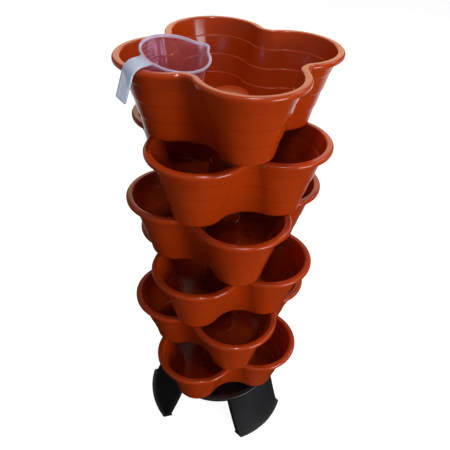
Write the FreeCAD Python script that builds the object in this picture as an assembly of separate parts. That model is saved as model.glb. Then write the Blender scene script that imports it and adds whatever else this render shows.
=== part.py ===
"""Vertical planter tower: six stacked four-lobed pots on a ring stand with three legs, and a measuring jug.

Millimetres, +Z up. The origin is on the ground, on the tower's axis. Lobes of pots 2, 4 and 6 lie along
the X and Y axes, and pots 1, 3 and 5 are turned by half a lobe step.
"""
import FreeCAD, Part
import math
import os
from dataclasses import dataclass

Vector = FreeCAD.Vector

# Driving dimensions of the pots
pot_count = 6
pot_span = 340.0            # across the rims of two opposite lobes
lobe_radius = 80.5          # outer edge of the rim round one lobe
pot_height = 116.5          # underside to the top of the rim
pot_wall = 2.5
rim_width = 11.0            # level top of the rim, outer edge to inner edge
rim_roll = 4.0              # rounding of the rim's outer edge
rim_inner_round = 3.0
lip_depth = 7.0             # how far the rim's outer edge turns down
wall_inset = 30.0           # how far the wall comes in from the rim's inner edge to the floor
seat_overhang = 11.5        # how far the foot of a lobe reaches past the waist of the rim below it
ledge_count = 3
first_ledge_depth = 26.5    # from the top of the rim
ledge_spacing = 28.5
ledge_step = 1.5
floor_round = 5.5           # rounding under the pot, where the wall meets the floor

# Raised column in the middle of each pot
column_top_radius = 29.0
column_foot_radius = 33.0
column_height = 52.0        # above the pot's underside
column_round = 4.0

# Drain holes and the lugs that keep a pot centred on the rim below
drain_diameter = 6.0
drain_circle_radius = 46.0
drain_half_gap = 6.5
lug_depth = 5.0
lug_thickness = 3.5
lug_half_angle = 7.0
lug_clearance = 0.5

# Stand
stand_height = 106.0
ring_wall = 2.5
ring_roll = 3.0
ring_lip_depth = 7.0
tray_depth = 14.0           # from the ring's top down to the tray inside it
leg_count = 3
first_leg_angle = 60.0
leg_width = 130.0
leg_wall = 3.0
leg_middle_flare = 11.5     # outer face past the ring's outer edge, at leg_middle_height
leg_middle_height = 56.0
leg_foot_flare = 30.0       # outer face past the ring's outer edge, on the ground
leg_flange_depth = 8.0
foot_lip = 6.0
foot_return = 12.0
foot_thickness = 3.0
socket_clearance = 0.3
tongue_half_angle = 20.0
socket_rib_half_angle = 0.8
nib_width = 12.0
nib_height = 2.4
nib_reach = 1.4

# Measuring jug, in its own frame: rim in the plane z = 0, handle along +X, spout along -X
jug_side_room = 20.0        # from the inner edge of a lobe's rim to the jug's rim, jug in the middle
jug_floor_room = 51.5       # how much less deep the jug is than a pot
jug_taper = 6.5
jug_bead_width = 2.0
jug_bead_height = 3.0
jug_wall = 1.6
jug_floor_round = 4.0
spout_length = 10.5         # tip of the spout past the jug's rim
spout_half_width = 21.0
spout_tip_half_width = 4.5
spout_depth = 26.0
handle_slack = 12.4         # room in the hook beyond the width of the pot's rim
handle_level = 0.5          # top of the strap below the plane of the rim
handle_drop = 52.3          # lower end of the strap below the plane of the rim
handle_flare = 9.2          # how far the strap leans out on its way down
handle_width = 21.0
handle_web = 2.2
handle_flange_depth = 3.2
handle_flange_wall = 1.6
handle_bend = 17.0
handle_root = 6.0           # how far the handle runs in under the bead, past the wall
handle_root_width = 28.0    # where the strap fans out into the cup
handle_fan_length = 9.0     # how far past the rim the strap starts to fan out

# How the jug hangs on the rim of the top pot's lobe at 180 degrees
jug_hook_angle = 222.5      # direction of the hooked point of the rim, from the lobe's centre
jug_handle_angle = 207.9    # direction of the handle, from the jug's axis
jug_hook_room = 11.3        # between the jug's rim and the inner edge of the pot's rim
jug_rim_above_pot = 7.5
jug_lean = 13.4
jug_lean_angle = -55.1

# Worked out from the driving dimensions. The rim's waists are drawn in to the circle that the feet of
# the lobes above rest on, and the waist's curve is the one that runs smoothly into both its lobes.
lobe_distance = pot_span / 2 - lobe_radius
lobe_step = 90.0
floor_inset = rim_width + wall_inset
waist_rim_radius = pot_span / 2 - (floor_inset - pot_wall) - seat_overhang
waist_radius = ((lobe_radius ** 2 - waist_rim_radius ** 2 - lobe_distance ** 2
                 + math.sqrt(2) * lobe_distance * waist_rim_radius)
                / (2 * waist_rim_radius - math.sqrt(2) * lobe_distance - 2 * lobe_radius))
waist_offset = (waist_rim_radius + waist_radius) / math.sqrt(2)
lobe_half_angle = math.degrees(math.atan2(waist_offset, waist_offset - lobe_distance))
waist_half_angle = lobe_half_angle - lobe_step / 2
band_draft = (floor_inset - rim_width - ledge_count * ledge_step) / (ledge_count + 1)
floor_plate_inset = floor_inset - pot_wall + floor_round
ring_outer_radius = waist_rim_radius
ring_inner_radius = ring_outer_radius - rim_width
ring_lip_level = stand_height - ring_lip_depth
leg_foot_radius = ring_outer_radius + leg_foot_flare
jug_rim_radius = lobe_radius - rim_width - jug_side_room
jug_height = pot_height - jug_floor_room
handle_reach = jug_rim_radius + rim_width + handle_slack + handle_flange_depth


@dataclass(frozen=True)
class Corner:
    """A corner of an outline in a vertical plane, with the radius that rounds it."""

    x: float
    z: float
    radius: float = 0.0


def rounded_wire(corners):
    """Return a closed wire in the XZ plane through the corners, each one rounded by its own radius."""
    entries = []
    count = len(corners)
    for index, corner in enumerate(corners):
        here = Vector(corner.x, 0, corner.z)
        if corner.radius <= 0:
            entries.append((here, here, here))
            continue
        before = corners[index - 1]
        after = corners[(index + 1) % count]
        towards_before = (Vector(before.x, 0, before.z) - here).normalize()
        towards_after = (Vector(after.x, 0, after.z) - here).normalize()
        half_turn = towards_before.getAngle(towards_after) / 2
        setback = corner.radius / math.tan(half_turn)
        middle = (towards_before + towards_after).normalize()
        centre = here + middle * (corner.radius / math.sin(half_turn))
        entries.append((here + towards_before * setback, centre - middle * corner.radius,
                        here + towards_after * setback))
    edges = []
    for index, (start, through, end) in enumerate(entries):
        if start.distanceToPoint(end) > 1e-6:
            edges.append(Part.Arc(start, through, end).toShape())
        following = entries[(index + 1) % count][0]
        if end.distanceToPoint(following) > 1e-6:
            edges.append(Part.LineSegment(end, following).toShape())
    return Part.Wire(edges)


def revolved(corners, start_angle=0.0, sweep=360.0):
    """Return the solid swept about the Z axis by the rounded outline, from start_angle through sweep."""
    face = Part.Face(rounded_wire(corners))
    face.rotate(Vector(0, 0, 0), Vector(0, 0, 1), start_angle)
    return face.revolve(Vector(0, 0, 0), Vector(0, 0, 1), sweep)


def box_between(low, high):
    """Return the box with the two opposite corners."""
    size = high - low
    return Part.makeBox(size.x, size.y, size.z, low)


def turned(shape, angle):
    """Return a copy of the shape turned about the Z axis."""
    copy = shape.copy()
    copy.rotate(Vector(0, 0, 0), Vector(0, 0, 1), angle)
    return copy


def moved(shape, offset):
    """Return a copy of the shape moved by the offset."""
    copy = shape.copy()
    copy.translate(offset)
    return copy


def wall_inset_at(depth):
    """Return how far in the pot's inner face lies at this depth, from the rim's outer edge."""
    upper_inset = rim_width
    upper_depth = 0.0
    for band in range(ledge_count + 1):
        lower_depth = first_ledge_depth + band * ledge_spacing
        if band == ledge_count:
            lower_depth = pot_height - pot_wall
        if depth <= lower_depth:
            share = (depth - upper_depth) / (lower_depth - upper_depth)
            return upper_inset + band_draft * share
        upper_inset += band_draft + ledge_step
        upper_depth = lower_depth + ledge_step
    return floor_inset


def wall_side(shift, floor_level, corner_round):
    """Return the corners of one face of the pot's wall, from under the rim down to the floor plate.

    The outer face is the inner one shifted out by the wall.
    """
    corners = []
    inset = rim_width - shift
    for ledge in range(ledge_count):
        inset += band_draft
        level = pot_height - first_ledge_depth - ledge * ledge_spacing
        corners.append(Corner(inset, level))
        inset += ledge_step
        corners.append(Corner(inset, level - ledge_step))
    corners.append(Corner(floor_inset - shift, floor_level, corner_round))
    corners.append(Corner(floor_plate_inset, floor_level))
    return corners


def pot_wall_corners():
    """Return the pot's rim and wall as corners, with x as the inset from the rim's outer edge."""
    rim_top = pot_height
    under_rim = rim_top - pot_wall
    lip_low = rim_top - lip_depth
    rim = [
        Corner(rim_width - pot_wall, under_rim),
        Corner(pot_wall, under_rim),
        Corner(pot_wall, lip_low),
        Corner(0, lip_low),
        Corner(0, rim_top, rim_roll),
        Corner(rim_width, rim_top, rim_inner_round),
    ]
    outer = wall_side(pot_wall, 0.0, floor_round)
    inner = wall_side(0.0, pot_wall, floor_round - pot_wall)
    return list(reversed(outer)) + rim + inner


def lobe_outline_wire(inset, level):
    """Return the closed four-lobed outline at this inset from the rim's outer edge."""
    edges = []
    lobe_curve = lobe_radius - inset
    waist_curve = waist_radius + inset
    for lobe in range(4):
        turn = math.radians(lobe * lobe_step)
        lobe_centre = Vector(lobe_distance, 0, level)
        waist_centre = Vector(waist_offset, waist_offset, level)
        edges.append((lobe_centre, lobe_curve, -lobe_half_angle, lobe_half_angle, turn))
        edges.append((waist_centre, waist_curve, 225 + waist_half_angle, 225 - waist_half_angle, turn))
    shapes = []
    for centre, curve, start, end, turn in edges:
        points = []
        for share in (0.0, 0.5, 1.0):
            angle = math.radians(start + (end - start) * share)
            point = centre + Vector(math.cos(angle), math.sin(angle), 0) * curve
            points.append(Vector(point.x * math.cos(turn) - point.y * math.sin(turn),
                                 point.x * math.sin(turn) + point.y * math.cos(turn), level))
        shapes.append(Part.Arc(*points).toShape())
    return Part.Wire(shapes)


def pot_shell():
    """Return the pot's wall with its rim, as eight swept sectors joined together."""
    wall = pot_wall_corners()
    lobe_side = [Corner(lobe_radius - c.x, c.z, c.radius) for c in wall]
    waist_side = [Corner(waist_radius + c.x, c.z, c.radius) for c in wall]
    lobe = moved(revolved(lobe_side, -lobe_half_angle, 2 * lobe_half_angle), Vector(lobe_distance, 0, 0))
    waist = moved(revolved(waist_side, 225 - waist_half_angle, 2 * waist_half_angle),
                  Vector(waist_offset, waist_offset, 0))
    sectors = []
    for step in range(4):
        sectors.append(turned(lobe, step * lobe_step))
        sectors.append(turned(waist, step * lobe_step))
    return sectors[0].fuse(sectors[1:])


def pot_column():
    """Return the hollow column that stands in the middle of the pot, open below."""
    foot = column_foot_radius
    top = column_top_radius
    wall = pot_wall
    return revolved([
        Corner(0, column_height),
        Corner(top, column_height, column_round),
        Corner(foot, pot_wall),
        Corner(foot, 0),
        Corner(foot - wall, 0),
        Corner(top - wall, column_height - wall, column_round - wall),
        Corner(0, column_height - wall),
    ])


def pot_lugs():
    """Return the four lugs under the lobes, which drop just inside the waists of the rim below."""
    outer = waist_rim_radius - wall_inset_at(lug_depth) - lug_clearance
    inner = outer - lug_thickness
    lugs = []
    for lobe in range(4):
        corners = [Corner(inner, 0), Corner(outer, 0), Corner(outer, -lug_depth), Corner(inner, -lug_depth)]
        lugs.append(revolved(corners, lobe * lobe_step - lug_half_angle, 2 * lug_half_angle))
    return lugs


def drain_holes():
    """Return the cutters of the pot's drain holes, two in each lobe."""
    cutters = []
    for lobe in range(4):
        for side in (-1, 1):
            place = Vector(drain_circle_radius, side * drain_half_gap, -1)
            hole = Part.makeCylinder(drain_diameter / 2, pot_wall + 2, place)
            cutters.append(turned(hole, lobe * lobe_step))
    return cutters


def make_pot():
    """Return one pot, standing on the plane z = 0 with its lobes along X and Y.

    The level top of its rim stays in eight faces, so that the seat at each waist is a face of its own.
    """
    plate = Part.Face(lobe_outline_wire(floor_plate_inset, 0)).extrude(Vector(0, 0, pot_wall))
    middle = Part.makeCylinder(column_foot_radius - pot_wall / 2, 3 * pot_wall, Vector(0, 0, -pot_wall))
    plate = plate.cut(middle)
    pot = pot_shell().fuse([plate, pot_column()] + pot_lugs())
    return single_solid(pot.cut(drain_holes()), join_faces=False)


def make_ring():
    """Return the stand's ring with the tray inside it and the sockets' end ribs."""
    top = stand_height
    tray_top = top - tray_depth
    tray_low = tray_top - ring_wall
    ring = revolved([
        Corner(0, tray_top),
        Corner(ring_inner_radius, tray_top, ring_wall),
        Corner(ring_inner_radius, top, ring_roll / 2),
        Corner(ring_outer_radius, top, ring_roll),
        Corner(ring_outer_radius, ring_lip_level),
        Corner(ring_outer_radius - ring_wall, ring_lip_level),
        Corner(ring_outer_radius - ring_wall, top - ring_wall),
        Corner(ring_inner_radius + ring_wall, top - ring_wall),
        Corner(ring_inner_radius + ring_wall, tray_low, ring_wall),
        Corner(0, tray_low),
    ])
    ribs = []
    pockets = []
    for leg in range(leg_count):
        ribs.extend(turned(rib, leg_angle(leg)) for rib in socket_ribs())
        pockets.append(turned(nib_box(socket_clearance), leg_angle(leg)))
    return single_solid(ring.fuse(ribs).cut(pockets))


def socket_ribs():
    """Return the two ribs in the ring's channel that stand at the ends of a leg's tongue along +X."""
    inner = ring_inner_radius + ring_wall / 2
    outer = ring_outer_radius - ring_wall / 2
    high = stand_height - ring_wall / 2
    section = [Corner(inner, high), Corner(outer, high), Corner(outer, ring_lip_level),
               Corner(inner, ring_lip_level)]
    end_gap = math.degrees(socket_clearance / ring_inner_radius)
    near = tongue_half_angle + end_gap
    sweep = 2 * socket_rib_half_angle
    return [revolved(section, near, sweep), revolved(section, -near - sweep, sweep)]


def leg_angle(leg):
    """Return the direction of a leg, counted from 0."""
    return first_leg_angle + leg * 360 / leg_count


def nib_box(clearance):
    """Return the box of the leg's snap nib, or with a clearance the pocket that takes it."""
    root = ring_inner_radius + ring_wall + 2 * socket_clearance
    tip = ring_inner_radius + ring_wall - nib_reach - clearance
    middle = ring_lip_level + nib_height / 2
    return box_between(Vector(tip, -nib_width / 2 - clearance, middle - nib_height / 2 - clearance),
                       Vector(root, nib_width / 2 + clearance, middle + nib_height / 2 + clearance))


def leg_arc(inward):
    """Return the leg's outer curve in the XZ plane, from its shoulder down to its foot, moved inward."""
    return Part.Arc(Vector(ring_outer_radius - inward, 0, ring_lip_level),
                    Vector(ring_outer_radius + leg_middle_flare - inward, 0, leg_middle_height),
                    Vector(leg_foot_radius - inward, 0, 0)).toShape()


def leg_band(near, far):
    """Return the ring-shaped solid between two copies of the leg's curve."""
    outer = leg_arc(near)
    inner = leg_arc(far)
    top = Part.LineSegment(Vector(ring_outer_radius - near, 0, ring_lip_level),
                           Vector(ring_outer_radius - far, 0, ring_lip_level)).toShape()
    bottom = Part.LineSegment(Vector(leg_foot_radius - near, 0, 0),
                              Vector(leg_foot_radius - far, 0, 0)).toShape()
    face = Part.Face(Part.Wire([outer, bottom, inner, top]))
    return face.revolve(Vector(0, 0, 0), Vector(0, 0, 1), 360)


def leg_slab(width, low, high):
    """Return the box that bounds a leg's width, reaching out along +X."""
    reach = 2 * leg_foot_radius
    return box_between(Vector(0, -width / 2, low), Vector(reach, width / 2, high))


def make_leg():
    """Return one leg along +X: a curved skin with side returns, a foot and the tongue that plugs in."""
    shoulder = ring_lip_level
    body = leg_band(0, leg_flange_depth).common(leg_slab(leg_width, 0, shoulder))
    hollow = leg_band(leg_wall, leg_flange_depth + 1)
    hollow = hollow.common(leg_slab(leg_width - 2 * leg_wall, foot_thickness, shoulder - leg_wall))
    foot = revolved([
        Corner(leg_foot_radius - foot_return, 0),
        Corner(leg_foot_radius + foot_lip, 0),
        Corner(leg_foot_radius + foot_lip, foot_thickness, foot_thickness / 3),
        Corner(leg_foot_radius - foot_return, foot_thickness),
    ]).common(leg_slab(leg_width, 0, foot_thickness))
    tongue_low = shoulder - leg_wall / 2
    tongue_top = stand_height - ring_wall - socket_clearance
    tongue_in = ring_inner_radius + ring_wall + socket_clearance
    tongue_out = ring_outer_radius - ring_wall - socket_clearance
    tongue = revolved([Corner(tongue_in, tongue_low), Corner(tongue_out, tongue_low),
                       Corner(tongue_out, tongue_top), Corner(tongue_in, tongue_top)],
                      -tongue_half_angle, 2 * tongue_half_angle)
    return single_solid(body.cut(hollow).fuse([foot, tongue, nib_box(0)]))


def jug_cup(inward):
    """Return the jug's tapered cup with its spout as a full solid, with its faces moved inward."""
    top_radius = jug_rim_radius - jug_bead_width - inward
    floor_radius = jug_rim_radius - jug_taper - inward
    floor_level = -jug_height + inward
    cup = revolved([
        Corner(0, floor_level),
        Corner(floor_radius, floor_level, jug_floor_round - inward),
        Corner(top_radius, 0),
        Corner(0, 0),
    ])
    root = -jug_rim_radius / 2
    sections = []
    for level, tip, half_width in (
            (0.0, jug_rim_radius + spout_length, spout_half_width),
            (-spout_depth, jug_rim_radius - jug_bead_width - jug_wall, spout_half_width / 2)):
        end_half_width = spout_tip_half_width - inward / 2
        points = [Vector(root, -half_width + inward, level),
                  Vector(root, half_width - inward, level),
                  Vector(-tip + inward, end_half_width, level),
                  Vector(-tip + inward, -end_half_width, level)]
        sections.append(Part.makePolygon(points + [points[0]]))
    return cup.fuse(Part.makeLoft(sections, True, True))


def handle_band(depth, width, side_offset):
    """Return a strip of the handle: its bent outline this deep, and this wide across the strap."""
    root = jug_rim_radius - handle_root
    end = handle_reach + handle_flare
    slope = math.atan2(handle_flare, handle_drop - handle_level)
    inner_bend = handle_reach - depth * (1 - math.sin(slope)) / math.cos(slope)
    profile = rounded_wire([
        Corner(root, -handle_level),
        Corner(handle_reach, -handle_level, handle_bend),
        Corner(end, -handle_drop),
        Corner(end - depth / math.cos(slope), -handle_drop),
        Corner(inner_bend, -handle_level - depth, handle_bend - depth),
        Corner(root, -handle_level - depth),
    ])
    strip = Part.Face(profile).extrude(Vector(0, width, 0))
    return moved(strip, Vector(0, side_offset - width / 2, 0))


def handle_fan():
    """Return the plate by which the strap fans out into the cup."""
    root = jug_rim_radius - handle_root
    end = jug_rim_radius + handle_fan_length
    points = [Vector(x, y, -handle_level - handle_web)
              for x, y in ((root, -handle_root_width / 2), (end, -handle_width / 2),
                           (end, handle_width / 2), (root, handle_root_width / 2))]
    return Part.Face(Part.makePolygon(points + [points[0]])).extrude(Vector(0, 0, handle_web))


def make_jug():
    """Return the jug in its own frame."""
    inside = jug_cup(jug_wall)
    bead = revolved([
        Corner(jug_rim_radius - jug_bead_width - jug_wall, -jug_bead_height),
        Corner(jug_rim_radius, -jug_bead_height, jug_bead_width / 2),
        Corner(jug_rim_radius, 0, jug_bead_width / 2),
        Corner(jug_rim_radius - jug_bead_width - jug_wall, 0),
    ])
    flange_place = (handle_width - handle_flange_wall) / 2
    handle = [
        handle_fan(),
        handle_band(handle_web, handle_width, 0),
        handle_band(handle_flange_depth, handle_flange_wall, flange_place),
        handle_band(handle_flange_depth, handle_flange_wall, -flange_place),
    ]
    solid = jug_cup(0).fuse([bead] + handle)
    return single_solid(solid.cut(inside))


def hang_jug(jug):
    """Return the jug turned, leaned and moved to where it hangs on the top pot's rim."""
    lean_direction = math.radians(jug_lean_angle)
    lean_axis = Vector(-math.sin(lean_direction), math.cos(lean_direction), 0)
    hung = turned(jug, jug_handle_angle)
    hung.rotate(Vector(0, 0, 0), lean_axis, jug_lean)
    top_rim = stand_height + pot_count * pot_height
    hook = Vector(-lobe_distance, 0, top_rim + jug_rim_above_pot) + flat_vector(jug_hook_angle, lobe_radius)
    hook_reach = jug_rim_radius + jug_hook_room + rim_width
    hung.translate(hook - flat_vector(jug_handle_angle, hook_reach))
    return hung


def flat_vector(angle, length):
    """Return the level vector of this length in this direction."""
    return Vector(math.cos(math.radians(angle)), math.sin(math.radians(angle)), 0) * length


def single_solid(shape, join_faces=True):
    """Return the one solid that the shape holds, with faces that lie on one surface joined or left."""
    solids = (shape.removeSplitter() if join_faces else shape).Solids
    if len(solids) != 1:
        raise ValueError(f"expected one solid, found {len(solids)}")
    return solids[0]


def export(name, shape):
    """Check the shape and write it as the node of this name."""
    if not shape.isValid():
        raise ValueError(f"{name} is not a valid solid")
    shape.exportStep(f"parts/{name}.step")
    box = shape.BoundBox
    print(f"{name}: volume {shape.Volume:.0f}, z {box.ZMin:.2f} to {box.ZMax:.2f}")


def main():
    """Build every piece of the tower and write it to its own file."""
    os.makedirs("parts", exist_ok=True)
    export("stand_ring", make_ring())
    leg = make_leg()
    for number in range(leg_count):
        export(f"leg_{number + 1}", turned(leg, leg_angle(number)))
    pot = make_pot()
    for number in range(pot_count):
        half_turned = number % 2 == 0
        placed = turned(pot, lobe_step / 2) if half_turned else pot
        export(f"pot_{number + 1}", moved(placed, Vector(0, 0, stand_height + number * pot_height)))
    export("measuring_jug", hang_jug(make_jug()))


main()
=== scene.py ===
"""Looks of the vertical planter tower: six four-lobed pots, their stand with three legs, and a measuring jug.

The script works in metres, +Z up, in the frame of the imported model, so every piece is built where it stands.
The classes below hold their sizes in millimetres and their angles in degrees.
"""
import logging
import math
from dataclasses import dataclass, field
from enum import Enum

import bpy
from mathutils import Matrix, Vector


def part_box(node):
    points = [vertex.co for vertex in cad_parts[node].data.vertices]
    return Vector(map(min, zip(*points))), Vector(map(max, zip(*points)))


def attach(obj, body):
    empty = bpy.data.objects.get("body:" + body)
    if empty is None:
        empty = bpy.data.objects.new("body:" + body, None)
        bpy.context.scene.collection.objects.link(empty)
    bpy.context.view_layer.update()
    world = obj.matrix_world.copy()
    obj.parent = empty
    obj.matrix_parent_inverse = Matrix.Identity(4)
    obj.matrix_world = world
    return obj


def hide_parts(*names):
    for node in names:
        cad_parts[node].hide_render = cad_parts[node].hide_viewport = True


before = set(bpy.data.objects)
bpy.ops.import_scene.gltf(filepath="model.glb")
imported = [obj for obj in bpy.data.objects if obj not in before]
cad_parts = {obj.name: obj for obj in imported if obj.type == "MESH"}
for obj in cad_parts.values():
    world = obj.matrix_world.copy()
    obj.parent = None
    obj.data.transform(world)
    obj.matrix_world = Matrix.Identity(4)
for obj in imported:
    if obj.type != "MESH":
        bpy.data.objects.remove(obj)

MM = 0.001
OWN_PLACE = "own_place"
NODE_FAMILIES = ("GeometryNode", "ShaderNode", "Node")
NOISE_RANGE = (0.3, 0.7)  # where nearly all values of a noise lie
WHITE = (1.0, 1.0, 1.0, 1.0)
log = logging.getLogger("planter_tower")

Material = bpy.types.Material
Mesh = bpy.types.Mesh
Node = bpy.types.Node
NodeTree = bpy.types.NodeTree
Object = bpy.types.Object
Outputs = bpy.types.NodeOutputs
Socket = bpy.types.NodeSocket


class Slot(Enum):
    """Material slots of the record that the pieces take their finish from."""

    POTS = "pot_plastic"
    STAND = "stand_plastic"
    JUG = "jug_plastic"


class Facing(Enum):
    """How a pot's lobes lie, as the turn in degrees from lobes on the X and Y axes."""

    ON_AXES = 0.0
    BETWEEN_AXES = 45.0


@dataclass(frozen=True)
class Corner:
    """One corner of a section: distance across and level in millimetres, and the radius that rounds it."""

    across: float
    level: float
    radius: float = 0.0


def linear(colour: str) -> tuple[float, float, float, float]:
    """Turn an sRGB hex colour into linear light.

    Args:
        colour: Six hex digits after a hash mark.

    Returns:
        Linear red, green, blue and an alpha of 1.
    """
    shares = [int(colour[place:place + 2], 16) / 255 for place in (1, 3, 5)]
    toned = [share / 12.92 if share <= 0.04045 else ((share + 0.055) / 1.055) ** 2.4 for share in shares]
    return toned[0], toned[1], toned[2], 1.0


def feed(node: Node, inputs: dict[str | int, object]) -> None:
    """Fill a node's inputs.

    Args:
        node: The node.
        inputs: By name or place, each a value, the output that is linked to it or a list of outputs.
    """
    for key, value in inputs.items():
        for source in value if isinstance(value, list) else [value]:
            if isinstance(source, Socket):
                node.id_data.links.new(source, node.inputs[key])
            else:
                node.inputs[key].default_value = source


def add(tree: NodeTree, kind: str, *inputs: object, named: dict[str | int, object] | None = None,
        output: str | int | None = 0, **settings: object) -> Socket | Outputs:
    """Add one node to a tree, with its settings and its inputs.

    Args:
        tree: The tree that gets the node.
        kind: The node's type without the name of its family.
        inputs: Its first inputs in order.
        named: Other inputs by name or place.
        output: The output that is wanted. None asks for all of them.
        settings: Properties of the node by name.

    Returns:
        The wanted output, or all outputs.
    """
    family = next(family for family in NODE_FAMILIES if hasattr(bpy.types, family + kind))
    node = tree.nodes.new(family + kind)
    for name, value in settings.items():
        setattr(node, name, value)
    feed(node, {**dict(enumerate(inputs)), **(named or {})})
    return node.outputs if output is None or not node.outputs else node.outputs[output]


def new_tree(name: str, inputs: dict[str, list[str]], output: str = "Geometry") -> tuple[NodeTree, Outputs]:
    """Start a geometry tree with named inputs and one geometry output.

    Args:
        name: The tree's name.
        inputs: Names of the inputs by their kind.
        output: Name of the geometry output.

    Returns:
        The tree and what its inputs give.
    """
    tree = bpy.data.node_groups.new(name, "GeometryNodeTree")
    tree.interface.new_socket(output, in_out="OUTPUT", socket_type="NodeSocketGeometry")
    for kind, labels in inputs.items():
        for label in labels:
            tree.interface.new_socket(label, in_out="INPUT", socket_type=f"NodeSocket{kind}")
    return tree, add(tree, "GroupInput", output=None)


def finish_tree(tree: NodeTree, parts: list[Socket], finish: Socket, crease: float = 40.0) -> NodeTree:
    """End a geometry tree: join its parts, merge their seams, shade, realize and dress them.

    Args:
        tree: The tree to end.
        parts: What the tree has made.
        finish: The material input.
        crease: Edges that turn by more than this many degrees stay sharp.

    Returns:
        The finished tree.
    """
    merge_distance = 0.04 * MM
    real = add(tree, "RealizeInstances", add(tree, "JoinGeometry", parts))
    merged = add(tree, "MergeByDistance", real, named={"Distance": merge_distance})
    smooth = add(tree, "SetShadeSmooth", merged)
    sharp = add(tree, "Math", add(tree, "InputMeshEdgeAngle"), math.radians(crease), operation="GREATER_THAN")
    creased = add(tree, "SetShadeSmooth", smooth, sharp, False, domain="EDGE")
    dressed = add(tree, "SetMaterial", creased, named={"Material": finish})
    add(tree, "GroupOutput", dressed)
    return tree


def in_scene(name: str, data: bpy.types.ID) -> Object:
    """Put an object into the scene.

    Args:
        name: The object's name.
        data: Its mesh, curve, lamp or camera.

    Returns:
        The object.
    """
    made = bpy.data.objects.new(name, data)
    bpy.context.scene.collection.objects.link(made)
    return made


def discard(outlines: dict[str, Object]) -> None:
    """Remove the outlines that have served their sweeps."""
    for outline in outlines.values():
        bpy.data.objects.remove(outline)


def grown(name: str, tree: NodeTree, values: dict[str, object]) -> Mesh:
    """Run a geometry tree and keep its result as a plain mesh.

    Args:
        name: Name of the mesh.
        tree: The geometry tree.
        values: A value for every input of the tree, by name.

    Returns:
        The realized mesh.
    """
    holder = in_scene(f"{name}_holder", bpy.data.meshes.new(f"{name}_start"))
    modifier = holder.modifiers.new("growth", "NODES")
    modifier.node_group = tree
    for item in tree.interface.items_tree:
        if item.item_type == "SOCKET" and item.in_out == "INPUT":
            modifier[item.identifier] = values[item.name]
    graph = bpy.context.evaluated_depsgraph_get()
    mesh = bpy.data.meshes.new_from_object(holder.evaluated_get(graph), depsgraph=graph)
    mesh.name = name
    bpy.data.objects.remove(holder)
    return mesh


def section(name: str, corners: list[Corner], shift: float = 0.0, closed: bool = True) -> Object:
    """Make the bare outline of a section, for a geometry tree to round and sweep.

    A sweep lays the outline's X across and its -Y up. Walked with the piece's outside on the left, the
    outline gives faces that point outwards. Each corner's radius waits in the point's radius.

    Args:
        name: Name of the outline.
        corners: The section's corners in order.
        shift: Millimetres that are added across.
        closed: Whether the last corner joins the first.

    Returns:
        The outline as a curve object.
    """
    curve = bpy.data.curves.new(name, "CURVE")
    spline = curve.splines.new("POLY")
    spline.points.add(len(corners) - 1)
    for point, corner in zip(spline.points, corners):
        point.co = ((corner.across + shift) * MM, -corner.level * MM, 0.0, 1.0)
        point.radius = corner.radius * MM
    spline.use_cyclic_u = closed
    return in_scene(name, curve)


def upright(corners: list[Corner]) -> list[Corner]:
    """Flip the levels of a level outline, so that a sweep along Z lays it the way that it was drawn."""
    return [Corner(corner.across, -corner.level, corner.radius) for corner in corners]


def block(across: tuple[float, float], levels: tuple[float, float],
          rounds: tuple[float, ...]) -> list[Corner]:
    """List the four corners of a block's section, from the top inner one round to the low inner one.

    Args:
        across: Where its inner and its outer side lie.
        levels: Where its top and its underside lie.
        rounds: What rounds the four corners.

    Returns:
        The corners.
    """
    (inner, outer), (top, low) = across, levels
    places = ((inner, top), (outer, top), (outer, low), (inner, low))
    return [Corner(*place, radius) for place, radius in zip(places, rounds)]


def rounded(tree: NodeTree, outline: Socket) -> Socket:
    """Fetch an outline in a geometry tree and round its corners by the radius that each one carries.

    Args:
        tree: The tree that uses the outline.
        outline: The object input that holds the outline.

    Returns:
        The rounded curve.
    """
    full_count_radius, fewest, most = 5 * MM, 2, 9
    fetched = add(tree, "ObjectInfo", outline, output="Geometry")
    radius = add(tree, "InputRadius")
    count = add(tree, "MapRange", radius, 0.0, full_count_radius, fewest, most)
    return add(tree, "FilletCurve", fetched, mode="POLY",
               named={"Count": count, "Radius": radius, "Limit Radius": True})


def swept(tree: NodeTree, rail: Socket, outline: Socket, **more: object) -> Socket:
    """Sweep an outline, with its corners rounded, along a rail.

    Args:
        tree: The tree that gets the sweep.
        rail: The curve that the outline follows.
        outline: The object input that holds the outline.
        more: Other inputs of the sweep by name.

    Returns:
        The swept mesh, with caps where the rail ends.
    """
    return add(tree, "CurveToMesh", rail, rounded(tree, outline), named={"Fill Caps": True, **more})


def swept_arc(tree: NodeTree, outline: Socket, radius: float, half_angle: float, steps: int) -> Socket:
    """Sweep an outline about the tower's axis, as far to one side of +X as to the other.

    Args:
        tree: The tree that gets the sweep.
        outline: The object input that holds the outline.
        radius: Radius of the circle that the outline's zero follows, in metres.
        half_angle: How far the sweep reaches to each side, in degrees.
        steps: Number of points along it.

    Returns:
        The swept mesh.
    """
    half = math.radians(half_angle)
    arc = add(tree, "CurveArc", steps, mode="RADIUS",
              named={"Radius": radius, "Start Angle": -half, "Sweep Angle": 2 * half})
    return swept(tree, arc, outline)


def in_pairs(tree: NodeTree, half_gap: float) -> tuple[Socket, Socket]:
    """Count repeated copies in pairs.

    Args:
        tree: The tree that repeats something.
        half_gap: What sets the two of a pair off from their middle.

    Returns:
        The half gap as minus and plus by turns, and the number of the pair.
    """
    index = add(tree, "InputIndex")
    side = add(tree, "Math", index, 2.0, operation="MODULO")
    offset = add(tree, "MapRange", side, 0.0, 1.0, -half_gap, half_gap)
    pair = add(tree, "Math", add(tree, "Math", index, 2.0, operation="DIVIDE"), operation="FLOOR")
    return offset, pair


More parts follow.
